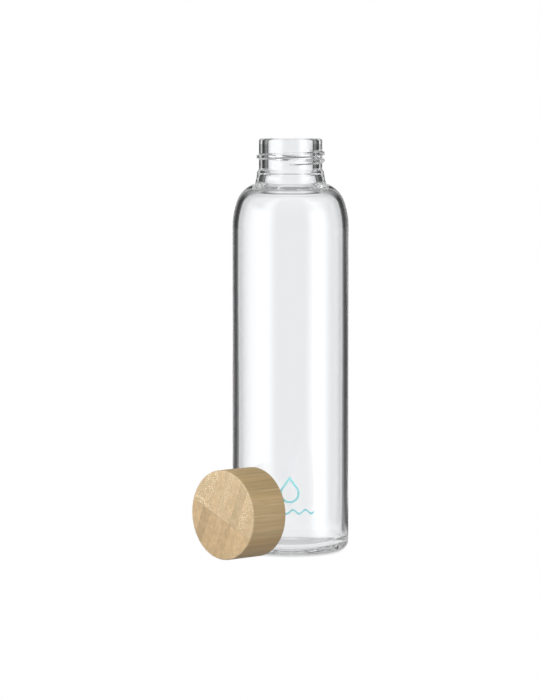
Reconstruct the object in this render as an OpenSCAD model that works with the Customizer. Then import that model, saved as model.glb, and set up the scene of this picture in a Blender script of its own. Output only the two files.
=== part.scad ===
// Glass water bottle with a turned bamboo screw lid.
// Millimetres. +Z is up, and the origin is the centre of the ring that the bottle stands on.
// The bottle is open. Its lid lies on its side in front of it, with its mouth towards the glass.

/* [Bottle] */
// Height from the table to the rim
bottle_h = 231; // [200:1:260]
// Outer diameter of the body
bottle_d = 65; // [60:0.5:75]
// Thickness of the side wall
wall = 3.2; // [2.4:0.1:3.8]
// Thickness of the floor, above the hollow under it
floor_t = 3; // [2.4:0.1:6]
// Outer radius of the heel, where the side turns into the base
heel_r = 5.6; // [4:0.2:8]
// Height of the hollow under the base
push_up = 1.4; // [0.8:0.1:2.4]
// Width of the flat ring that the bottle stands on
foot_w = 2.4; // [1.5:0.1:4]

/* [Neck] */
// Outer diameter of the neck under the thread
neck_d = 35.4; // [34:0.2:36]
// Diameter of the bore through the neck
bore_d = 25; // [22:0.5:26]
// Length of the straight neck, from the rim to the collar
neck_l = 18; // [17:0.5:19]
// Outer diameter of the collar at its top
collar_d = 37.7; // [37:0.1:38.5]
// Distance from the rim to the crease above the shoulder
crease_drop = 25.6; // [24.6:0.2:26]

/* [Thread] */
// Distance that the thread climbs in one turn
pitch = 3.95; // [3.6:0.05:4]
// Turns of the single thread
turns = 1.5; // [1.25:0.25:1.5]
// Outer diameter over the neck's thread
thread_d = 38; // [37.4:0.1:38.4]
// Distance from the rim to the lower end of the thread
thread_drop = 13.25; // [12.8:0.05:13.6]
// Direction of the lower end of the thread, in degrees from +X
thread_turn = -50; // [-180:5:180]

/* [Lid] */
// Outer diameter of the bamboo lid
lid_d = 49.6; // [49:0.2:56]
// Height of the bamboo lid
lid_h = 24.8; // [24:0.2:30]
// Rounding of the lid's outer edges
lid_round = 0.8; // [0.4:0.1:1.2]
// Width of a bamboo strip
strip_w = 5.8; // [5:0.1:6.2]
// Slope of the long glue line between the two rows of strips, in degrees
seam_tilt = -23; // [-45:1:45]
// Distance of the long glue line below the lid's axis
seam_drop = 2.3; // [0:0.1:4]

/* [Insert and gasket] */
// Outer diameter of the plastic insert that holds the lid's thread
insert_d = 43; // [42.6:0.2:44]
// Inner diameter of the insert behind its thread
insert_bore_d = 39.2; // [38.8:0.1:39.6]
// Depth of the insert's cavity
insert_depth = 17.4; // [16.6:0.1:18]
// Thickness of the silicone gasket
gasket_t = 1.8; // [1.4:0.1:2.2]

/* [Lid at rest] */
// Gap between the lid's mouth and the side of the bottle
lid_gap = 0.6; // [0.4:0.1:20]
// Distance of the lid's axis from the bottle's, towards +X
lid_aside = 5.7; // [-8:0.1:8]

/* [Printed mark] */
// Direction that the print faces, in degrees from +X
print_turn = -45; // [-180:5:180]
// Height of the drop's tip above the table
drop_tip_z = 45; // [40:0.5:120]
// Height of the whole drop outline
drop_h = 15; // [12:0.5:20]
// Diameter of the drop's round end
drop_d = 11; // [8:0.5:12]
// Width of the printed lines
line_w = 1.2; // [1:0.1:1.6]
// Height of the wavy line above the table
wave_z = 25.2; // [20:0.2:28]
// Number of waves in the line
waves = 4; // [2:1:5]
// Length of one wave
wave_l = 7; // [5:0.5:8]
// Thickness of the baked print
print_t = 0.06; // [0.04:0.01:0.1]

/* [Hidden] */
$fn = 96;

// glass: radii, and drops measured down from the rim
body_r = bottle_d / 2;
in_r = body_r - wall;
neck_r = neck_d / 2;
bore_r = bore_d / 2;
rim_round = 1.2;
lip_round = 0.8;
long_drop = 50; // where the shoulder meets the straight side
long_r = 46; // the shoulder's long lower curve
long_turn = 19; // degrees that it turns through
short_r = 16; // the shoulder's tighter upper curve
short_turn = 67; // direction of its upper end, in degrees from level
in_short_r = 11.8; // the tighter curve on the inside
collar_curve = 14; // radius of the collar's flare
collar_turn = 22; // degrees that the flare turns through
collar_step = 1.4; // height of the rounded step from the neck to the collar
bore_l = 18.2; // length of the bore, below which the inside steps outwards
step_r = 1.4; // the step's upper, convex curve
step_turn = 55; // degrees that it turns through
settle_r = 2; // the step's lower, hollow curve
lean = 10; // slope of the inside of the collar, in degrees from upright
flare_r = 4; // where the collar's inside widens into the shoulder
in_heel_r = 6;
foot_step = 1.2; // width of the bevel inside the standing ring
foot_in_r = body_r - heel_r - foot_w;

// threads: [width at the root, width at the crest], and their ends
thread_step = 15; // degrees from one section to the next
thread_fade = 30; // degrees over which each end rises to the full height
thread_end = 0.25; // share of the full height at the very end
thread_root = 0.4; // depth of a section's root inside its wall
neck_thread_w = [3, 1.1];
lid_thread_w = [2.6, 0.9];
lid_thread_h = 1.45; // how far the insert's thread stands out
lid_thread_z = 3; // height of its lower end above the lid's mouth

// lid and its insert, drawn with the mouth at height 0 and the top up
lid_r = lid_d / 2;
glue_gap = 0.1;
insert_roof = 1.2;
socket_r = insert_d / 2 + glue_gap;
socket_depth = insert_depth + insert_roof;
gasket_r = insert_bore_d / 2 - 0.3;
gasket_in_r = 11;
seat_gap = 0.05; // between the gasket and the insert's roof
bead_h = 0.4; // sealing beads on the gasket
bead_w = 0.8;

// strips: a row above the long glue line and a row below it, counted from the left
ROWS = ["upper", "lower"];
FIRST_JOINTS = [-16.5, -15.1]; // place of each row's first short joint, along the glue line
strips = 8;
STRIP_NODES = [for (row = ROWS) for (i = [1 : strips]) str("lid_strip_", row, "_", i)];

function toward(a) = [cos(a), sin(a)];

// points of an arc about c, from angle a to angle b in n steps
function arc(c, r, a, b, n) = [for (i = [0 : n]) c + r * toward(a + (b - a) * i / n)];

// a point of the profile, given by its radius and its drop below the rim
function below_rim(r, drop) = [r, bottle_h - drop];

// ---- the glass bottle ----

// centres of the shoulder's two curves, which share a tangent where they meet
long_c = below_rim(body_r - long_r, long_drop);
short_c = long_c + (long_r - short_r) * toward(long_turn);

// inside the collar: the step's two curves, then a leaning line
step_c = below_rim(bore_r + step_r, bore_l);
settle_c = step_c - (step_r + settle_r) * toward(step_turn);
collar_in = settle_c + settle_r * toward(lean);

// the inside of the shoulder: its two curves share a tangent, and it ends in a straight line
in_short_c = long_c + (long_r - wall - in_short_r) * toward(long_turn);
in_end = in_short_c + in_short_r * toward(short_turn);

// the flare touches the leaning line and that straight one
flare_arc = short_turn - lean;
flare_run = ((collar_in - in_end) * toward(short_turn) - flare_r * (1 - cos(flare_arc)))
    / sin(flare_arc);
flare_c = collar_in + flare_run * [sin(lean), -cos(lean)] + flare_r * toward(lean);

function outer_profile() = concat(
    arc([0, push_up - 188], 188, 90, 83, 6),
    [[foot_in_r - foot_step, push_up / 2], [foot_in_r, 0]],
    arc([body_r - heel_r, heel_r], heel_r, -90, 0, 10),
    arc(long_c, long_r, 0, long_turn, 8),
    arc(short_c, short_r, long_turn + 4, short_turn, 12),
    [below_rim(collar_d / 2 + collar_curve * (1 - cos(collar_turn)) + 0.1, crease_drop)],
    arc(below_rim(collar_d / 2 + collar_curve, neck_l + collar_step), collar_curve,
        180 + collar_turn, 180, 8),
    arc(below_rim(collar_d / 2 - 0.8, neck_l + 0.9), 0.8, 20, 80, 3),
    [below_rim(neck_r, neck_l)],
    arc(below_rim(neck_r - rim_round, rim_round), rim_round, 0, 90, 6)
);

function inner_profile() = concat(
    arc(below_rim(bore_r + lip_round, lip_round), lip_round, 90, 180, 4),
    arc(step_c, step_r, 180, 180 + step_turn, 5),
    arc(settle_c, settle_r, step_turn - 9, lean, 4),
    arc(flare_c, flare_r, 180 + lean, 180 + short_turn, 7),
    arc(in_short_c, in_short_r, short_turn, long_turn + 4, 12),
    arc(long_c, long_r - wall, long_turn, 0, 8),
    arc([in_r - in_heel_r, push_up + floor_t + in_heel_r - 0.3], in_heel_r, 0, -90, 10),
    [[0, push_up + floor_t]]
);

// one section of a thread: root low, crest low, crest high, root high
function thread_section(angle, z, wall_r, out, w) = [
    for (p = [[-thread_root * sign(out), -w[0] / 2], [0, -w[1] / 2], [0, w[1] / 2],
              [-thread_root * sign(out), w[0] / 2]])
        let (r = wall_r + (p[0] == 0 ? out : p[0])) [r * cos(angle), r * sin(angle), z + p[1]]
];

// share of its full height that a thread has at angle a
function thread_rise(a, whole) =
    min(1, thread_end + (1 - thread_end) * min(a, whole - a) / thread_fade);

// right-handed single thread, which stands out of its wall, or in from it where out is below 0
module thread(start, z, wall_r, out, w) {
    whole = turns * 360;
    n = whole / thread_step;
    rings = [for (i = [0 : n]) let (a = i * thread_step)
        thread_section(start + a, z + pitch * a / 360, wall_r, out * thread_rise(a, whole), w)];
    sides = [for (i = [0 : n - 1]) for (j = [0 : 3]) for (half = [0, 1])
        let (a = i * 4 + j, b = i * 4 + (j + 1) % 4) half == 0 ? [a, b, a + 4] : [b, b + 4, a + 4]];
    faces = concat([[3, 2, 1, 0]], sides, [[for (j = [0 : 3]) n * 4 + j]]);
    polyhedron(
        points = [for (ring = rings) for (p = ring) p],
        faces = out > 0 ? faces : [for (f = faces) [for (k = [len(f) - 1 : -1 : 0]) f[k]]]
    );
}

module glass_bottle() {
    color([0.86, 0.93, 0.93, 0.4]) union() {
        rotate_extrude() polygon(concat(outer_profile(), inner_profile()));
        thread(thread_turn, bottle_h - thread_drop, neck_r, (thread_d - neck_d) / 2, neck_thread_w);
    }
}

// ---- the print on the glass ----

// a drop with its round end down: the tip, and an arc between the two straight sides' ends
module drop(h, d) {
    r = d / 2;
    low = h - r; // how far the round end's centre lies below the tip
    lean = asin(r / low);
    polygon(concat([[0, 0]], arc([0, -low], r, 180 - lean, 360 + lean, 24)));
}

// the inner drop shares the round end's centre, and its sides stay one line's width inside
module drop_outline() {
    inner_r = drop_d / 2 - line_w;
    inner_low = (drop_h - drop_d / 2) * inner_r / (drop_d / 2);
    difference() {
        drop(drop_h, drop_d);
        translate([0, inner_low - (drop_h - drop_d / 2)]) drop(inner_low + inner_r, 2 * inner_r);
    }
}

// a wavy ribbon of the line's width, with its middle at the origin
module wave_line() {
    n = waves * 12;
    function crest(i) = [(i / n - 0.5) * waves * wave_l, line_w * 0.9 * sin(360 * waves * i / n)];
    polygon(concat(
        [for (i = [0 : n]) crest(i) + [0, line_w / 2]],
        [for (i = [n : -1 : 0]) crest(i) - [0, line_w / 2]]
    ));
}

module printed_mark() {
    color([0.42, 0.82, 0.87]) rotate([0, 0, print_turn + 90]) intersection() {
        difference() {
            cylinder(h = drop_tip_z + 5, r = body_r + print_t);
            translate([0, 0, -1]) cylinder(h = drop_tip_z + 7, r = body_r);
        }
        rotate([90, 0, 0]) linear_extrude(body_r + 2) {
            translate([0, drop_tip_z]) drop_outline();
            translate([0, wave_z]) wave_line();
        }
    }
}

// ---- the lid ----

// puts a piece of the lid, drawn with its mouth at height 0, where the lid lies
module lay_lid() {
    translate([lid_aside, -body_r - lid_gap, lid_r]) rotate([90, 0, 0]) children();
}

// the whole turned bamboo shell, before it is divided into its strips
module lid_shell() {
    rotate_extrude() polygon(concat(
        arc([socket_r + lid_round, lid_round], lid_round, 180, 270, 3),
        arc([lid_r - lid_round, lid_round], lid_round, -90, 0, 5),
        arc([lid_r - lid_round, lid_h - lid_round], lid_round, 0, 90, 5),
        [[0, lid_h], [0, socket_depth], [socket_r, socket_depth]]
    ));
}

// strip i of a row, where row 0 lies above the long glue line and row 1 below it
module lid_strip(row, i) {
    from = i == 1 ? -lid_d : FIRST_JOINTS[row] + (i - 2) * strip_w;
    to = i == strips ? lid_d : FIRST_JOINTS[row] + (i - 1) * strip_w;
    shade = 0.05 * ((i * 3 + row) % 4);
    color([0.86 - shade, 0.74 - shade, 0.55 - shade]) lay_lid() intersection() {
        lid_shell();
        rotate([0, 0, seam_tilt])
            translate([from, row == 0 ? -seam_drop : -seam_drop - lid_d, -1])
            cube([to - from, lid_d, lid_h + 2]);
    }
}

module thread_insert() {
    color("whitesmoke") lay_lid() union() {
        rotate_extrude() polygon([
            [insert_bore_d / 2, 0], [insert_d / 2, 0], [insert_d / 2, socket_depth],
            [0, socket_depth], [0, insert_depth], [insert_bore_d / 2, insert_depth]
        ]);
        thread(thread_turn, lid_thread_z, insert_bore_d / 2, -lid_thread_h, lid_thread_w);
    }
}

module gasket() {
    low = insert_depth - seat_gap - gasket_t;
    color("white") lay_lid() rotate_extrude() union() {
        translate([gasket_in_r, low]) square([gasket_r - gasket_in_r, gasket_t]);
        for (r = [bore_r + 1.2, neck_r - 2.2])
            translate([r, low - bead_h]) square([bead_w, bead_h + 0.2]);
    }
}

glass_bottle();
printed_mark();
gasket();
thread_insert();
for (row = [0, 1]) for (i = [1 : strips])
    lid_strip(row, i);
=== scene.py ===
import math

import bmesh
import bpy
from mathutils import Matrix, Vector


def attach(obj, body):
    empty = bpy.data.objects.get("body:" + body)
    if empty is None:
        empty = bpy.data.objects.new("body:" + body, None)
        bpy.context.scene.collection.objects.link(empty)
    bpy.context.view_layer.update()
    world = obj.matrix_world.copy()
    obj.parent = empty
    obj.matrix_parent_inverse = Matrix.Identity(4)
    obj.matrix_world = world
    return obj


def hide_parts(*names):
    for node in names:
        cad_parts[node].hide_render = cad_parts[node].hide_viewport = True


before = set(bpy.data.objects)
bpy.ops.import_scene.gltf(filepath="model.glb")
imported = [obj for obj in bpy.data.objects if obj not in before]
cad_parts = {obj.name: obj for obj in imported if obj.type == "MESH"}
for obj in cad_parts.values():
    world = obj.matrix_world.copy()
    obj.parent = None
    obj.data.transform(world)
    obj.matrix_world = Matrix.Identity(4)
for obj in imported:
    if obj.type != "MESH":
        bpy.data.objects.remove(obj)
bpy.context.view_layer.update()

# A clear glass bottle, open, with its bamboo screw lid lying on its side in front of it.

MM = 0.001

# ---- sizes of the object, in millimetres and degrees, with drops measured down from the rim ----

# bottle
BOTTLE_H, BODY_R, WALL = 231, 32.5, 3.2
IN_R = BODY_R - WALL
FLOOR_T, HEEL_R, IN_HEEL_R = 3, 5.6, 6
# the ring that it stands on, and the hollow inside that ring
FOOT_W, FOOT_STEP, PUSH_UP = 2.4, 1.2, 1.4
FOOT_IN_R = BODY_R - HEEL_R - FOOT_W
DOME_R, DOME_EDGE, FLOOR_SAG = 188, 83, 0.3
# neck and rim
NECK_R, BORE_R, NECK_L = 17.7, 12.5, 18
RIM_ROUND, LIP_ROUND = 1.2, 0.8
# collar: a soft step out from the neck, a curve, and the crease where it meets the shoulder
COLLAR_STEP, SHELF_H = 1.4, 2.8
COLLAR_R, COLLAR_CURVE, COLLAR_TURN = 18.85, 14, 22
CREASE_DROP, CREASE_W, CREASE_SOFT = 25.6, 0.35, 0.06
# shoulder: a long curve up from the body, then a short one to the crease
LONG_DROP, LONG_R, LONG_TURN = 50, 46, 19
SHORT_R, SHORT_TURN, IN_SHORT_R = 16, 67, 11.8
# inside the collar: a step out from the bore, a settling to a lean, and a flare to the shoulder
BORE_L, STEP_R, STEP_TURN = 17.6, 2.4, 42
SETTLE_R, LEAN, FLARE_R = 3.2, 10, 6

# threads of the neck and of the lid: both rise by the pitch in each turn
PITCH, TURNS, THREAD_TURN = 3.95, 1.5, -50
THREAD_DROP, THREAD_OUT, THREAD_W = 13.25, 1.3, 2.9
LID_THREAD_Z, LID_THREAD_IN, LID_THREAD_W = 3, 1.45, 2.5
START_FADE, END_FADE = 25, 70
THREAD_EDGE, FLANK = 1.15, 1.4  # where its flank ends, in half widths, and how steep it is

# lid, insert and gasket, drawn with the mouth at height 0 and the top up
LID_R, LID_H, LID_ROUND = 24.8, 24.8, 0.8
INSERT_R, INSERT_BORE_R, INSERT_DEPTH = 21.5, 19.6, 17.4
SOCKET_R, SOCKET_DEPTH = 21.6, 18.6
GASKET_T, GASKET_R, GASKET_IN_R = 1.8, 19.3, 11
GASKET_LOW = 15.55
BEAD_W, BEAD_H, BEAD_IN, BEAD_OUT = 0.8, 0.4, 1.2, 2.2
# the lid's two rows of strips, on both sides of a long tilted glue line
STRIPS, STRIP_W, GLUE = 8, 5.8, 0.02
SEAM_TILT, SEAM_DROP = -23, 2.3
FIRST_JOINTS = {"upper": -16.5, "lower": -15.1}
# where the lid lies: on its side, with its mouth beside the bottle
LID_PLACE = Vector((5.7, -33.1, LID_R)) * MM

# print: a drop above a wavy line, with a hair of air between the ink and the glass
PRINT_TURN, PRINT_GAP, PRINT_T = -45, 0.012, 0.06
DROP_TIP_Z, DROP_H, DROP_D = 45, 15, 11
LINE_W, WAVE_Z, WAVES, WAVE_L, WAVE_H = 1.2, 25.2, 4, 7, 1.08

# surface detail
FOOT_KNURLS, KNURL_H = 60, 0.14
WAVY_LOW, WAVY_HIGH, WAVE_DEPTH = 12, 200, 0.035

BOTTLE_STEPS, LID_STEPS = 480, 180  # faces round each turned piece


# ---- profiles ----

def arc(c, r, a, b, n):
    """Points of an arc about c, from angle a to angle b in n steps."""
    angles = [math.radians(a + (b - a) * i / n) for i in range(n + 1)]
    return [(c[0] + r * math.cos(t), c[1] + r * math.sin(t)) for t in angles]


def polar(c, r, a):
    """The point at angle a of the circle about c."""
    return arc(c, r, a, a, 1)[0]


def below_rim(r, drop):
    """A point at a radius, a given drop below the bottle's rim."""
    return (r, BOTTLE_H - drop)


def line(a, b, n):
    """Points of a straight line, without its ends."""
    shares = [i / n for i in range(1, n)]
    return [(a[0] + (b[0] - a[0]) * k, a[1] + (b[1] - a[1]) * k) for k in shares]


def smooth(x):
    """0 up to 0, 1 from 1 on, and a smooth rise between."""
    x = min(1, max(0, x))
    return x * x * (3 - 2 * x)


# centres of the two curves of the shoulder
LONG_C = below_rim(BODY_R - LONG_R, LONG_DROP)
SHORT_C = polar(LONG_C, LONG_R - SHORT_R, LONG_TURN)


def outer_profile():
    """The bottle's outside, from the middle of its underside up to the top of the rim."""
    collar_c = below_rim(COLLAR_R + COLLAR_CURVE, NECK_L + COLLAR_STEP)
    crease_r = COLLAR_R + COLLAR_CURVE * (1 - math.cos(math.radians(COLLAR_TURN))) + 0.1
    heel_c = (BODY_R - HEEL_R, HEEL_R)
    side = line((BODY_R, HEEL_R), below_rim(BODY_R, LONG_DROP), 24)
    shelf_top = NECK_L + COLLAR_STEP - SHELF_H
    shelf = []
    for k in [i / 12 for i in range(11, 0, -1)]:
        r = NECK_R + (COLLAR_R - NECK_R) * smooth(k)
        shelf.append(below_rim(r, shelf_top + SHELF_H * k))
    neck = line(below_rim(NECK_R, shelf_top), below_rim(NECK_R, RIM_ROUND), 150)
    return (
        [(0, PUSH_UP)]
        + arc((0, PUSH_UP - DOME_R), DOME_R, 89.5, DOME_EDGE, 7)
        + line((FOOT_IN_R - FOOT_STEP, PUSH_UP / 2), (FOOT_IN_R, 0), 3)
        + [(FOOT_IN_R, 0.03), (FOOT_IN_R + FOOT_W / 3, 0), (FOOT_IN_R + FOOT_W * 2 / 3, 0)]
        + arc(heel_c, HEEL_R, -90, 0, 18)
        + side
        + arc(LONG_C, LONG_R, 0, LONG_TURN, 12)
        + arc(SHORT_C, SHORT_R, LONG_TURN + 4, SHORT_TURN, 16)
        + [below_rim(crease_r + CREASE_W, CREASE_DROP + CREASE_SOFT)]
        + [below_rim(crease_r, CREASE_DROP - 2 * CREASE_SOFT)]
        + arc(collar_c, COLLAR_CURVE, 180 + COLLAR_TURN, 180, 14)
        + shelf
        + neck
        + arc(below_rim(NECK_R - RIM_ROUND, RIM_ROUND), RIM_ROUND, 0, 90, 8)
    )


def flare_centre(start, end):
    """Centre of the flare between the collar's leaning inside and the shoulder's."""
    turn, lean = math.radians(SHORT_TURN), math.radians(LEAN)
    gap = (start[0] - end[0]) * math.cos(turn) + (start[1] - end[1]) * math.sin(turn)
    run = (gap - FLARE_R * (1 - math.cos(turn - lean))) / math.sin(turn - lean)
    touch = (start[0] + run * math.sin(lean), start[1] - run * math.cos(lean))
    return polar(touch, FLARE_R, LEAN)


def inner_profile():
    """The bottle's inside, from the top of the rim down to the middle of its floor."""
    short_c = polar(LONG_C, LONG_R - WALL - IN_SHORT_R, LONG_TURN)
    end = polar(short_c, IN_SHORT_R, SHORT_TURN)
    step_c = below_rim(BORE_R + STEP_R, BORE_L)
    settle_c = polar(step_c, -STEP_R - SETTLE_R, STEP_TURN)
    collar_in = polar(settle_c, SETTLE_R, LEAN)
    flare_c = flare_centre(collar_in, end)
    heel_c = (IN_R - IN_HEEL_R, PUSH_UP + FLOOR_T + IN_HEEL_R - FLOOR_SAG)
    floor_z = PUSH_UP + FLOOR_T
    return (
        arc(below_rim(BORE_R + LIP_ROUND, LIP_ROUND), LIP_ROUND, 90, 180, 6)
        + line(below_rim(BORE_R, LIP_ROUND), below_rim(BORE_R, BORE_L), 6)
        + arc(step_c, STEP_R, 180, 180 + STEP_TURN, 10)
        + arc(settle_c, SETTLE_R, STEP_TURN - 5, LEAN, 9)
        + arc(flare_c, FLARE_R, 180 + LEAN, 180 + SHORT_TURN, 12)
        + arc(short_c, IN_SHORT_R, SHORT_TURN, LONG_TURN + 4, 16)
        + arc(LONG_C, LONG_R - WALL, LONG_TURN, 0, 12)
        + line((IN_R, BOTTLE_H - LONG_DROP), (IN_R, heel_c[1]), 24)
        + arc(heel_c, IN_HEEL_R, 0, -90, 18)
        + line((heel_c[0], floor_z - FLOOR_SAG), (0, floor_z), 8)
        + [(0, floor_z)]
    )


def lid_profile():
    """The whole bamboo shell, which the strips are cut from."""
    return (
        [(0, SOCKET_DEPTH), (SOCKET_R, SOCKET_DEPTH)]
        + arc((SOCKET_R + LID_ROUND, LID_ROUND), LID_ROUND, 180, 270, 4)
        + arc((LID_R - LID_ROUND, LID_ROUND), LID_ROUND, -90, 0, 6)
        + arc((LID_R - LID_ROUND, LID_H - LID_ROUND), LID_ROUND, 0, 90, 6)
        + [(0, LID_H)]
    )


def insert_profile():
    """The plastic cup, with enough points down its bore for the thread."""
    lip, roof_round = 0.3, 0.8
    corner = (INSERT_BORE_R - roof_round, INSERT_DEPTH - roof_round)
    return (
        [(0, SOCKET_DEPTH), (INSERT_R, SOCKET_DEPTH)]
        + arc((INSERT_R - lip, lip), lip, 0, -90, 4)
        + arc((INSERT_BORE_R + lip, lip), lip, -90, -180, 4)
        + line((INSERT_BORE_R, lip), (INSERT_BORE_R, corner[1]), 72)
        + arc(corner, roof_round, 0, 90, 5)
        + [(0, INSERT_DEPTH)]
    )


def gasket_profile():
    """The flat ring with two beads on its underside, which press on the rim."""
    edge = 0.25
    top = GASKET_LOW + GASKET_T
    beads = []
    for middle in (BORE_R + BEAD_IN + BEAD_W / 2, NECK_R - BEAD_OUT + BEAD_W / 2):
        beads += arc((middle, GASKET_LOW), BEAD_H, 180, 360, 8)
    return (
        arc((GASKET_IN_R + edge, GASKET_LOW + edge), edge, 180, 270, 3)
        + beads
        + arc((GASKET_R - edge, GASKET_LOW + edge), edge, -90, 0, 3)
        + arc((GASKET_R - edge, top - edge), edge, 0, 90, 3)
        + arc((GASKET_IN_R + edge, top - edge), edge, 90, 180, 3)
    )


# ---- surface detail that is part of the shape ----

def thread_height(angle, z, low_z, width):
    """Share of its full height that a thread has at an angle and a height: 0 away from it."""
    best = 0
    for turn in (0, 1):
        along = (angle - THREAD_TURN) % 360 + 360 * turn
        whole = TURNS * 360
        if along > whole:
            continue
        rise = smooth(along / START_FADE) * smooth((whole - along) / END_FADE)
        off = abs(z - low_z - PITCH * along / 360) / (width / 2)
        best = max(best, rise * smooth((THREAD_EDGE - off) * FLANK))
    return best


def glass_detail(angle, r, z):
    """How far out and up the glass is moved: thread, standing ring's knurls, inner wall's waves."""
    if r > NECK_R - 0.01 and z > BOTTLE_H - NECK_L:
        return THREAD_OUT * thread_height(angle, z, BOTTLE_H - THREAD_DROP, THREAD_W), 0
    if z < 0.5 and FOOT_IN_R - 1 < r < FOOT_IN_R + FOOT_W + 0.8:
        crest = max(0, math.cos(math.radians(angle * FOOT_KNURLS)))
        return 0, KNURL_H * crest
    if BORE_R < r < IN_R + 0.01 and WAVY_LOW < z < WAVY_HIGH:
        t = math.radians(angle)
        fade = smooth((z - WAVY_LOW) / 10) * smooth((WAVY_HIGH - z) / 15)
        waves = math.sin(2 * t + z / 23) + 0.6 * math.sin(3 * t - z / 31 + 1)
        return WAVE_DEPTH * fade * waves, 0
    return 0, 0


def insert_detail(angle, r, z):
    """The thread inside the insert."""
    if abs(r - INSERT_BORE_R) < 0.01 and z > 0.3:
        return -LID_THREAD_IN * thread_height(angle, z, LID_THREAD_Z, LID_THREAD_W), 0
    return 0, 0


# ---- meshes ----

def turned(profile, steps, detail=None):
    """A profile turned about Z, as a bmesh in metres. It closes on the axis or on itself."""
    bm = bmesh.new()
    rings = []
    for r, z in profile:
        if r == 0:
            rings.append([bm.verts.new((0, 0, z * MM))] * steps)
            continue
        ring = []
        for i in range(steps):
            angle = 360 * i / steps
            out, up = detail(angle, r, z) if detail else (0, 0)
            t = math.radians(angle)
            at = Vector(((r + out) * math.cos(t), (r + out) * math.sin(t), z + up))
            ring.append(bm.verts.new(at * MM))
        rings.append(ring)
    following = rings[1:] if profile[0][0] == 0 else rings[1:] + rings[:1]
    for low, high in zip(rings, following):
        for i in range(steps):
            j = (i + 1) % steps
            corners = dict.fromkeys([low[i], low[j], high[j], high[i]])  # three of them at the axis
            bm.faces.new(corners)
    bmesh.ops.remove_doubles(bm, verts=bm.verts, dist=1e-7)
    bmesh.ops.recalc_face_normals(bm, faces=bm.faces)
    return bm


def finished(name, bm, sharp=35):
    """The bmesh as an object with smooth shading, apart from its sharp edges."""
    mesh = bpy.data.meshes.new(name)
    bm.to_mesh(mesh)
    bm.free()
    mesh.shade_smooth()
    mesh.set_sharp_from_angle(angle=math.radians(sharp))
    obj = bpy.data.objects.new(name, mesh)
    bpy.context.scene.collection.objects.link(obj)
    return obj


def lay(obj):
    """Puts a piece of the lid where the lid lies."""
    obj.matrix_world = Matrix.Translation(LID_PLACE) @ Matrix.Rotation(math.radians(90), 4, "X")
    return obj


def cut(bm, at, normal):
    """Removes what lies beyond a plane, and closes the cut."""
    everything = bm.verts[:] + bm.edges[:] + bm.faces[:]
    bmesh.ops.bisect_plane(
        bm, geom=everything, dist=1e-7, plane_co=at, plane_no=normal, clear_outer=True
    )
    rim = [e for e in bm.edges if e.is_boundary]
    if rim:
        bmesh.ops.holes_fill(bm, edges=rim, sides=0)


def strip_mesh(row, i):
    """Strip i of a row: the shell cut along the long glue line and along the strip's joints."""
    tilt = math.radians(SEAM_TILT)
    along = Vector((math.cos(tilt), math.sin(tilt), 0))
    across = Vector((-math.sin(tilt), math.cos(tilt), 0))
    side = 1 if row == "upper" else -1
    first = FIRST_JOINTS[row]
    bm = turned(lid_profile(), LID_STEPS)
    cut(bm, across * (-SEAM_DROP + side * GLUE) * MM, across * -side)
    if i > 1:
        cut(bm, along * (first + (i - 2) * STRIP_W + GLUE) * MM, -along)
    if i < STRIPS:
        cut(bm, along * (first + (i - 1) * STRIP_W - GLUE) * MM, along)
    bmesh.ops.recalc_face_normals(bm, faces=bm.faces)
    return bm


def ribbon(pairs, closed):
    """Ink between pairs of points (side, height), laid round the glass with a little thickness."""
    bm = bmesh.new()
    rows = []
    for a, b in pairs:
        row = []
        for share in (0, 0.5, 1):
            x = a[0] + (b[0] - a[0]) * share
            z = a[1] + (b[1] - a[1]) * share
            turn = math.radians(PRINT_TURN) + x / BODY_R
            for r in (BODY_R + PRINT_GAP, BODY_R + PRINT_T):
                row.append(bm.verts.new(Vector((r * math.cos(turn), r * math.sin(turn), z)) * MM))
        rows.append([row[0], row[1], row[3], row[5], row[4], row[2]])
    following = rows[1:] + rows[:1] if closed else rows[1:]
    for a, b in zip(rows, following):
        for k in range(6):
            m = (k + 1) % 6
            bm.faces.new([a[k], a[m], b[m], b[k]])
    if not closed:
        bm.faces.new(rows[0])
        bm.faces.new(rows[-1])
    bmesh.ops.recalc_face_normals(bm, faces=bm.faces)
    return bm


def drop_loop(h, d, low, n):
    """n points round a drop whose round end is centred at a height, starting at its tip."""
    r = d / 2
    reach = h - r
    lean = math.degrees(math.asin(r / reach))
    tip = (0, low + reach)
    curve = arc((0, low), r, 180 - lean, 360 + lean, n - 8)
    return [tip] + line(tip, curve[0], 4) + curve + line(curve[-1], tip, 4)


def drop_mesh():
    """The outline of a drop, between two drops of the same shape."""
    low = DROP_TIP_Z - DROP_H + DROP_D / 2
    inner_r = DROP_D / 2 - LINE_W
    inner_h = (DROP_H - DROP_D / 2) * inner_r / (DROP_D / 2) + inner_r
    outer = drop_loop(DROP_H, DROP_D, low, 56)
    inner = drop_loop(inner_h, 2 * inner_r, low, 56)
    return ribbon(zip(outer, inner), True)


def wave_mesh():
    """The wavy line under the drop."""
    half = LINE_W / 2
    pairs = []
    for share in [i / (WAVES * 16) for i in range(WAVES * 16 + 1)]:
        x = (share - 0.5) * WAVES * WAVE_L
        z = WAVE_Z + WAVE_H * math.sin(math.tau * WAVES * share)
        pairs.append(((x, z + half), (x, z - half)))
    return ribbon(pairs, False)


# ---- materials ----

def new_material(name):
    m = bpy.data.materials.new(name)
    m.use_nodes = True
    return m, m.node_tree, m.node_tree.nodes["Principled BSDF"]


def add(tree, kind, inputs=None, **settings):
    """A node with its inputs set, or linked where an input is given as a socket."""
    n = tree.nodes.new(kind)
    for key, value in settings.items():
        setattr(n, key, value)
    for key, value in (inputs or {}).items():
        if isinstance(value, bpy.types.NodeSocket):
            tree.links.new(value, n.inputs[key])
        else:
            n.inputs[key].default_value = value
    return n


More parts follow.
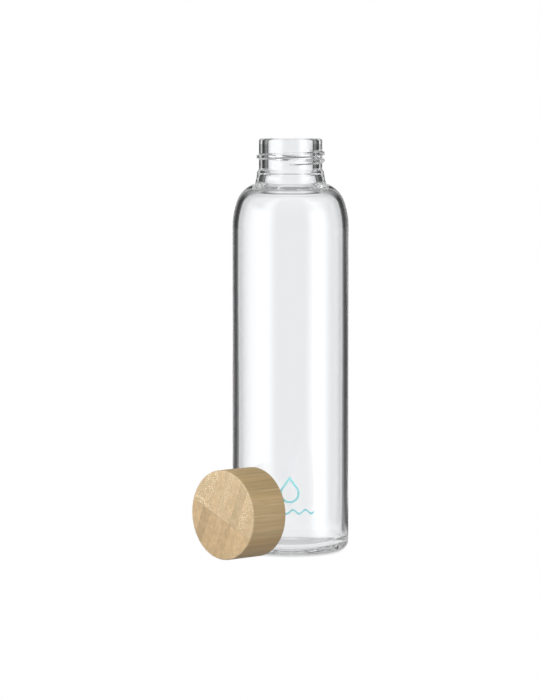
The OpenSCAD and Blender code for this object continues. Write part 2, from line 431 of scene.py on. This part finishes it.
def math_node(tree, operation, a, b=0.0, c=0.0, clamp=False):
    n = add(tree, "ShaderNodeMath", {0: a, 1: b, 2: c}, operation=operation, use_clamp=clamp)
    return n.outputs[0]


def spread(tree, value, low, high, to_low=0.0, to_high=1.0):
    """A value between low and high brought smoothly to between to_low and to_high."""
    inputs = {"Value": value, "From Min": low, "From Max": high}
    inputs |= {"To Min": to_low, "To Max": to_high}
    n = add(tree, "ShaderNodeMapRange", inputs, interpolation_type="SMOOTHSTEP")
    return n.outputs["Result"]


def mix(tree, share, a, b, blend="MIX"):
    n = add(tree, "ShaderNodeMix", data_type="RGBA", blend_type=blend)
    for socket, value in ((n.inputs[0], share), (n.inputs[6], a), (n.inputs[7], b)):
        if isinstance(value, bpy.types.NodeSocket):
            tree.links.new(value, socket)
        else:
            socket.default_value = value
    return n.outputs[2]


def millimetres(tree, stretch=(1, 1, 1), shift=(0, 0, 0)):
    """The piece's own coordinates in millimetres."""
    own = add(tree, "ShaderNodeTexCoord").outputs["Object"]
    scale = [1000 * s for s in stretch]
    n = add(tree, "ShaderNodeMapping", {"Vector": own, "Scale": scale, "Location": shift})
    return n.outputs["Vector"]


def noise(tree, vector, scale, detail=3.0, roughness=0.5):
    inputs = {"Vector": vector, "Scale": scale, "Detail": detail, "Roughness": roughness}
    return add(tree, "ShaderNodeTexNoise", inputs).outputs["Fac"]


def rgba(colour, gain=1.0):
    return tuple(c * gain for c in colour) + (1.0,)


def bump(tree, height, depth_mm, strength=1.0):
    inputs = {"Height": height, "Distance": depth_mm * MM, "Strength": strength}
    return add(tree, "ShaderNodeBump", inputs).outputs["Normal"]


GLASS_TINT = (0.969, 0.978, 0.986)


def glass_material():
    m, tree, shader = new_material("clear_glass")
    shader.inputs["Base Color"].default_value = rgba(GLASS_TINT)
    shader.inputs["Transmission Weight"].default_value = 1
    shader.inputs["IOR"].default_value = 1.5
    handled = noise(tree, millimetres(tree), 0.05, 4)
    tree.links.new(spread(tree, handled, 0.45, 0.8, 0.0, 0.012), shader.inputs["Roughness"])
    return m


INK = (0.40, 0.88, 0.94)


def ink_material():
    m, tree, shader = new_material("baked_ink")
    mottled = noise(tree, millimetres(tree), 1.6, 4)
    colour = mix(tree, spread(tree, mottled, 0.3, 0.7), rgba(INK, 1.0), rgba(INK, 1.1))
    tree.links.new(colour, shader.inputs["Base Color"])
    tree.links.new(spread(tree, mottled, 0.3, 0.7, 0.3, 0.45), shader.inputs["Roughness"])
    tree.links.new(bump(tree, mottled, 0.01), shader.inputs["Normal"])
    return m


def insert_material():
    m, tree, shader = new_material("moulded_plastic")
    fine = noise(tree, millimetres(tree), 3.0, 5)
    cloud = noise(tree, millimetres(tree), 0.12, 2)
    colour = mix(tree, cloud, (0.80, 0.80, 0.77, 1), (0.87, 0.87, 0.85, 1))
    tree.links.new(colour, shader.inputs["Base Color"])
    tree.links.new(spread(tree, fine, 0.3, 0.7, 0.32, 0.46), shader.inputs["Roughness"])
    tree.links.new(bump(tree, fine, 0.012), shader.inputs["Normal"])
    return m


def silicone_material():
    m, tree, shader = new_material("silicone")
    fine = noise(tree, millimetres(tree), 2.0, 4)
    dust = noise(tree, millimetres(tree), 0.3, 5)
    colour = mix(tree, spread(tree, dust, 0.4, 0.7), (0.78, 0.78, 0.77, 1), (0.86, 0.86, 0.85, 1))
    tree.links.new(colour, shader.inputs["Base Color"])
    tree.links.new(spread(tree, dust, 0.3, 0.7, 0.5, 0.68), shader.inputs["Roughness"])
    tree.links.new(bump(tree, fine, 0.015), shader.inputs["Normal"])
    return m


# bamboo: colours between the bundles, the pale bundles (also the painted highlight on the face's
# rounded edge), the fibres and the glue
CANE = (0.60, 0.445, 0.255)
PALE = (0.93, 0.82, 0.58)
BROWN = (0.40, 0.265, 0.13)
GLUE_BROWN = (0.30, 0.19, 0.09)
SIDE_TINT = (0.95, 0.92, 0.82)
ROW_TINTS = {"upper": (1.0, 1.0, 1.0), "lower": (1.05, 1.0, 0.94)}
ROW_SHIFTS = {"upper": 31.7, "lower": 83.1}
# how bright each strip is, and how much of its bundles shows, from left to right
TONES = {
    "upper": [1.08, 1.12, 1.11, 1.09, 1.13, 0.97, 1.12, 1.08],
    "lower": [0.97, 0.78, 0.93, 0.95, 0.90, 0.97, 1.01, 1.02],
}
BUNDLES = {
    "upper": [1.0, 0.9, 0.55, 0.5, 0.45, 0.3, 0.75, 0.8],
    "lower": [0.2, 0.1, 0.15, 0.2, 0.1, 0.25, 0.4, 0.3],
}


def glue_lines(tree, row):
    """1 on the glue beside a strip, from the distance to the nearest joint and to the long line."""
    inputs = {"Vector": millimetres(tree), "Axis": (0, 0, 1), "Angle": math.radians(-SEAM_TILT)}
    turned_to = add(tree, "ShaderNodeVectorRotate", inputs, rotation_type="AXIS_ANGLE")
    split = add(tree, "ShaderNodeSeparateXYZ", {0: turned_to.outputs[0]})
    place = math_node(tree, "SUBTRACT", split.outputs["X"], FIRST_JOINTS[row])
    nearest = math_node(tree, "ROUND", math_node(tree, "DIVIDE", place, STRIP_W))
    nearest = math_node(tree, "MINIMUM", math_node(tree, "MAXIMUM", nearest, 0.0), STRIPS - 2.0)
    joint = math_node(tree, "MULTIPLY_ADD", nearest, -STRIP_W, place)
    seam = math_node(tree, "ADD", split.outputs["Y"], SEAM_DROP)
    off = [math_node(tree, "ABSOLUTE", value) for value in (joint, seam)]
    return spread(tree, math_node(tree, "MINIMUM", *off), 0.05, 0.16, 1.0, 0.0)


def painted_edge_highlight(tree):
    """1 on the rounded edge of the lid's face, where a paler band paints a highlight."""
    split = add(tree, "ShaderNodeSeparateXYZ", {0: millimetres(tree)})
    squares = [math_node(tree, "MULTIPLY", split.outputs[k], split.outputs[k]) for k in "XY"]
    radius = math_node(tree, "SQRT", math_node(tree, "ADD", *squares))
    reach = math_node(tree, "ADD", radius, split.outputs["Z"])
    return spread(tree, reach, LID_R + LID_H - 1.3, LID_R + LID_H - 0.6)


def end_grain(tree):
    """1 on the lid's flat face, 0 on its side."""
    height = add(tree, "ShaderNodeSeparateXYZ", {0: millimetres(tree)}).outputs["Z"]
    return spread(tree, height, LID_H - LID_ROUND, LID_H - 0.1)


def bundles_of(tree, grain, coarse, amount):
    """Where the pale bundles are, how much of them shows, and the darker gaps between them."""
    cells = add(tree, "ShaderNodeTexVoronoi", {"Vector": grain, "Scale": 0.95, "Randomness": 0.5})
    dots = spread(tree, cells.outputs["Distance"], 0.22, 0.42, 1.0, 0.0)
    patch = spread(tree, noise(tree, coarse, 0.16, 2), 0.35, 0.62, 0.35, 1.0)
    on_face = spread(tree, end_grain(tree), 0.0, 1.0, 0.3 * amount, amount)
    patch = math_node(tree, "MULTIPLY", patch, on_face)
    gaps = math_node(tree, "MULTIPLY", math_node(tree, "SUBTRACT", 1.0, dots), patch)
    return dots, patch, gaps


def bamboo_material(row, i):
    """Cane with its bundles along the lid's axis: dots on the face and streaks on the side."""
    tone, amount = TONES[row][i - 1], BUNDLES[row][i - 1]
    m, tree, shader = new_material(f"bamboo_{row}_{i}")
    shift = (i * 17.3, ROW_SHIFTS[row], i * 5.9)  # each strip is another piece of cane
    grain = millimetres(tree, (1, 1, 0.035), shift)
    coarse = millimetres(tree, (1, 1, 0.012), shift)

    cloud = spread(tree, noise(tree, coarse, 0.35, 3), 0.3, 0.7)
    body = mix(tree, cloud, rgba(CANE, tone * 0.9), rgba(CANE, tone * 1.08))
    fibre = noise(tree, grain, 2.6, 6, 0.65)
    body = mix(tree, spread(tree, fibre, 0.52, 0.74, 0.0, 0.5), body, rgba(BROWN, tone))
    dots, patch, gaps = bundles_of(tree, grain, coarse, amount)
    body = mix(tree, math_node(tree, "MULTIPLY", gaps, 0.2), body, rgba(BROWN, tone * 1.2))
    body = mix(tree, math_node(tree, "MULTIPLY", dots, patch), body, rgba(PALE, tone))
    streaks = spread(tree, noise(tree, coarse, 0.5, 4, 0.6), 0.5, 0.7, 0.0, 0.3)
    body = mix(tree, streaks, body, rgba(BROWN, tone * 1.2))

    side = mix(tree, 1.0, body, rgba(SIDE_TINT), "MULTIPLY")
    body = mix(tree, end_grain(tree), side, body)
    body = mix(tree, 1.0, body, rgba(ROW_TINTS[row]), "MULTIPLY")
    # a paler colour on the face's rounded edge is a painted highlight
    body = mix(tree, math_node(tree, "MULTIPLY", painted_edge_highlight(tree), 0.12), body, rgba(PALE, 0.9))
    glue = glue_lines(tree, row)
    body = mix(tree, math_node(tree, "MULTIPLY", glue, 0.22), body, rgba(GLUE_BROWN))
    tree.links.new(body, shader.inputs["Base Color"])

    tree.links.new(spread(tree, fibre, 0.3, 0.7, 0.5, 0.68), shader.inputs["Roughness"])
    relief = math_node(tree, "MULTIPLY_ADD", dots, 0.5 * amount, fibre)
    relief = math_node(tree, "SUBTRACT", relief, glue)
    tree.links.new(bump(tree, relief, 0.05, 0.6), shader.inputs["Normal"])
    shader.inputs["Specular IOR Level"].default_value = 0.4
    return m


# ---- pieces ----

def add_bottle():
    bm = turned(outer_profile() + inner_profile(), BOTTLE_STEPS, glass_detail)
    piece = finished("bottle_glass", bm, 30)
    piece.data.materials.append(glass_material())
    piece.visible_shadow = False  # clear glass hardly dims the light on the lid
    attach(piece, "bottle")
    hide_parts("glass_bottle")


def add_print():
    ink = ink_material()
    for name, bm in (("print_drop", drop_mesh()), ("print_wave", wave_mesh())):
        piece = finished(name, bm)
        piece.data.materials.append(ink)
        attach(piece, "bottle")
        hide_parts("printed_mark")


def add_strips():
    for row, slot in (("upper", "bamboo_light"), ("lower", "bamboo_dark")):
        for i in range(1, STRIPS + 1):
            piece = lay(finished(f"bamboo_{row}_{i}", strip_mesh(row, i)))
            piece.data.materials.append(bamboo_material(row, i))
            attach(piece, "lid")
            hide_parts(f"lid_strip_{row}_{i}")


def add_insert():
    piece = lay(finished("insert_threaded", turned(insert_profile(), LID_STEPS, insert_detail)))
    piece.data.materials.append(insert_material())
    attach(piece, "lid")
    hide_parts("thread_insert")


def add_gasket():
    piece = lay(finished("gasket_ring", turned(gasket_profile(), LID_STEPS)))
    piece.data.materials.append(silicone_material())
    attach(piece, "seal")
    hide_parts("gasket")


# ---- camera and studio ----

VIEW_TURN = 46.06  # degrees from +Y to the way the camera looks, anticlockwise from above
CAMERA_DIP = 4.16
CAMERA_AT = Vector((1.4329, -1.3968, 0.2582))
CAMERA_LENS = 184.11


def add_camera():
    """The photograph's view."""
    data = bpy.data.cameras.new("camera")
    data.lens = CAMERA_LENS
    data.sensor_width = 36
    data.clip_end = 50
    camera = bpy.data.objects.new("camera", data)
    camera.location = CAMERA_AT
    camera.rotation_euler = (math.radians(90 - CAMERA_DIP), 0, math.radians(VIEW_TURN))
    bpy.context.scene.collection.objects.link(camera)
    bpy.context.scene.camera = camera


# brightness of the studio in the glass's inner reflections, by degrees off the camera's line
RING_TONES = [
    (0, 1.0), (8, 1.0), (13, 0.10), (22, 0.05), (35, 0.05), (43, 0.26),
    (52, 0.36), (58, 0.14), (75, 0.25), (100, 0.08),
]
INSIDE_GREY = 0.08
# the world in those reflections, and how it brightens with the sine of the elevation
RING_IN_WORLD = 0.65
OVERHEAD_FROM, OVERHEAD_TO, OVERHEAD_TONE = 0.18, 0.6, 0.35
# the world through the glass: white low down, dim high up, where the camera never sees it
SKY_DIMS_FROM, SKY_DIMS_TO, SKY_TONE = 0.15, 0.5, 0.2
# the floor, in metres from the bottle's axis: its shade under the bottle, and its glow near it
UNDER_R, UNDER_TONE = 0.031, 0.62
NEAR_FROM, NEAR_TO, NEAR_TONE = 0.06, 0.12, 0.85
FLOOR_R, FLOOR_DROP = 6, 0.0006


def two_tone(tree, plain, inside):
    """One grey for what is seen directly or through glass, another after a reflection."""
    path = add(tree, "ShaderNodeLightPath").outputs["Glossy Depth"]
    share = math_node(tree, "MINIMUM", path, 1.0)
    return spread(tree, share, 0.0, 1.0, plain, inside)


def around(tree, vector):
    """Grey of the studio by direction: white beyond the bottle, dark beside that, then greys."""
    split = add(tree, "ShaderNodeSeparateXYZ", {0: vector})
    back = math_node(tree, "MULTIPLY", split.outputs["X"], -1.0)
    turn = math_node(tree, "ARCTAN2", back, split.outputs["Y"])
    turn = math_node(tree, "SUBTRACT", turn, math.radians(VIEW_TURN))
    off = math_node(tree, "ARCCOSINE", math_node(tree, "COSINE", turn))
    ramp = add(tree, "ShaderNodeValToRGB", {0: math_node(tree, "DIVIDE", off, math.pi)})
    stops = ramp.color_ramp.elements
    for k, (degrees, tone) in enumerate(RING_TONES):
        stop = stops[k] if k < 2 else stops.new(degrees / 180)
        stop.position = degrees / 180
        stop.color = (tone, tone, tone, 1)
    return ramp.outputs["Color"]


def floor_light(tree):
    """The floor's two tones."""
    own = add(tree, "ShaderNodeTexCoord").outputs["Object"]
    reach = add(tree, "ShaderNodeVectorMath", {0: own}, operation="LENGTH").outputs["Value"]
    near = spread(tree, reach, NEAR_FROM, NEAR_TO, NEAR_TONE, 0.0)
    under = spread(tree, reach, UNDER_R * 0.7, UNDER_R, UNDER_TONE, 1.0)
    return under, math_node(tree, "MAXIMUM", near, around(tree, own))


def card_light(tree):
    """A card's two tones: it is white through the glass, and glows by its own attribute."""
    return 1.0, add(tree, "ShaderNodeAttribute", attribute_name="glow").outputs["Fac"]


def glow(name, tones):
    """White to the eye; what the glass mirrors of it has another brightness."""
    m = bpy.data.materials.new(name)
    m.use_nodes = True
    tree = m.node_tree
    tree.nodes.remove(tree.nodes["Principled BSDF"])
    light = add(tree, "ShaderNodeEmission", {"Strength": two_tone(tree, *tones(tree))})
    tree.links.new(light.outputs[0], tree.nodes["Material Output"].inputs["Surface"])
    return m


def stage_mesh(name, bm, material, seen=True):
    """A floor, or a card that only the glass and the gloss see."""
    obj = finished(name, bm)
    obj.data.materials.append(material)
    obj.visible_diffuse = False
    obj.visible_shadow = False
    obj.visible_camera = seen
    return obj


def add_floor():
    bm = bmesh.new()
    bmesh.ops.create_circle(bm, cap_ends=True, segments=96, radius=FLOOR_R)
    bmesh.ops.translate(bm, verts=bm.verts, vec=(0, 0, -FLOOR_DROP))
    stage_mesh("floor", bm, glow("pale_floor", floor_light))


# a card's section (distance from the axis, height), and its brightness along it
CARD_PATH = [(0.09, -0.0003), (1.3, -0.0003), (1.3, 0.3), (1.3, 0.62), (1.3, 0.8)]
CARD_FADE = [1, 1, 1, 1, 0]


def card(name, turn, half, strength, steps=24):
    """A card on the floor and upright beyond it, at an angle to the right of the camera."""
    bm = bmesh.new()
    glows = []
    columns = []
    for i in range(steps + 1):
        share = 2 * i / steps - 1
        t = math.radians(VIEW_TURN + 180 + turn + half * share)
        side = smooth(1 - abs(share))
        column = []
        for (r, z), fade in zip(CARD_PATH, CARD_FADE):
            column.append(bm.verts.new((-r * math.sin(t), r * math.cos(t), z)))
            glows.append(INSIDE_GREY + (strength - INSIDE_GREY) * side * fade)
        columns.append(column)
    for a, b in zip(columns, columns[1:]):
        for k in range(len(CARD_PATH) - 1):
            bm.faces.new([a[k], b[k], b[k + 1], a[k + 1]])
    obj = stage_mesh(name, bm, glow(name, card_light), seen=False)
    layer = obj.data.attributes.new("glow", "FLOAT", "POINT")
    layer.data.foreach_set("value", glows)


def add_cards():
    card("glow_left", turn=-72, half=44, strength=2.25)
    card("glow_right", turn=57, half=30, strength=2.0)


def add_light(name, turn, rise, distance, size, power):
    """A soft area light, at an angle to the right of the camera as the bottle sees it."""
    data = bpy.data.lights.new(name, "AREA")
    data.shape = "RECTANGLE"
    data.size, data.size_y = size
    data.energy = power
    obj = bpy.data.objects.new(name, data)
    t, e = math.radians(VIEW_TURN + 180 + turn), math.radians(rise)
    away = Vector((-math.sin(t) * math.cos(e), math.cos(t) * math.cos(e), math.sin(e)))
    obj.location = Vector((0, 0, 0.1)) + away * distance
    obj.rotation_euler = away.to_track_quat("Z", "Y").to_euler()
    obj.visible_camera = False
    obj.visible_glossy = False
    obj.visible_transmission = False
    bpy.context.scene.collection.objects.link(obj)


# name, degrees to the right of the camera, elevation, distance, size and watts
LIGHTS = [
    ("key_left", -60, 10, 1.3, (0.7, 1.0), 12.2),
    ("side_right", 55, 8, 1.3, (0.4, 1.0), 5.3),
    ("front", -5, 12, 1.5, (1.0, 0.8), 9.5),
    ("above", 0, 88, 1.3, (1.2, 1.2), 3.4),
    ("behind", 175, 15, 1.5, (1.4, 1.0), 17),
    ("bounce", 40, -30, 1.3, (1.0, 0.6), 1.5),
]


def add_lights():
    for light in LIGHTS:
        add_light(*light)


def set_world():
    world = bpy.data.worlds.new("studio")
    world.use_nodes = True
    tree = world.node_tree
    background = tree.nodes["Background"]
    background.inputs["Color"].default_value = (1, 1, 1, 1)
    way = add(tree, "ShaderNodeTexCoord").outputs["Generated"]
    rise = add(tree, "ShaderNodeSeparateXYZ", {0: way}).outputs["Z"]
    plain = spread(tree, rise, SKY_DIMS_FROM, SKY_DIMS_TO, 1.0, SKY_TONE)
    overhead = spread(tree, rise, OVERHEAD_FROM, OVERHEAD_TO, 0.0, OVERHEAD_TONE)
    ring = math_node(tree, "MULTIPLY", around(tree, way), RING_IN_WORLD)
    inside = math_node(tree, "MAXIMUM", ring, overhead)
    tree.links.new(two_tone(tree, plain, inside), background.inputs["Strength"])
    bpy.context.scene.world = world
    world.cycles_visibility.diffuse = False
    bpy.context.scene.view_settings.view_transform = "Standard"


def let_light_through():
    """Enough bounces for light that runs along inside the thick glass."""
    cycles = bpy.context.scene.cycles
    cycles.max_bounces = cycles.glossy_bounces = cycles.transmission_bounces = 128


add_camera()
add_floor()
add_cards()
add_lights()
set_world()
let_light_through()
add_bottle()
add_print()
add_strips()
add_insert()
add_gasket()
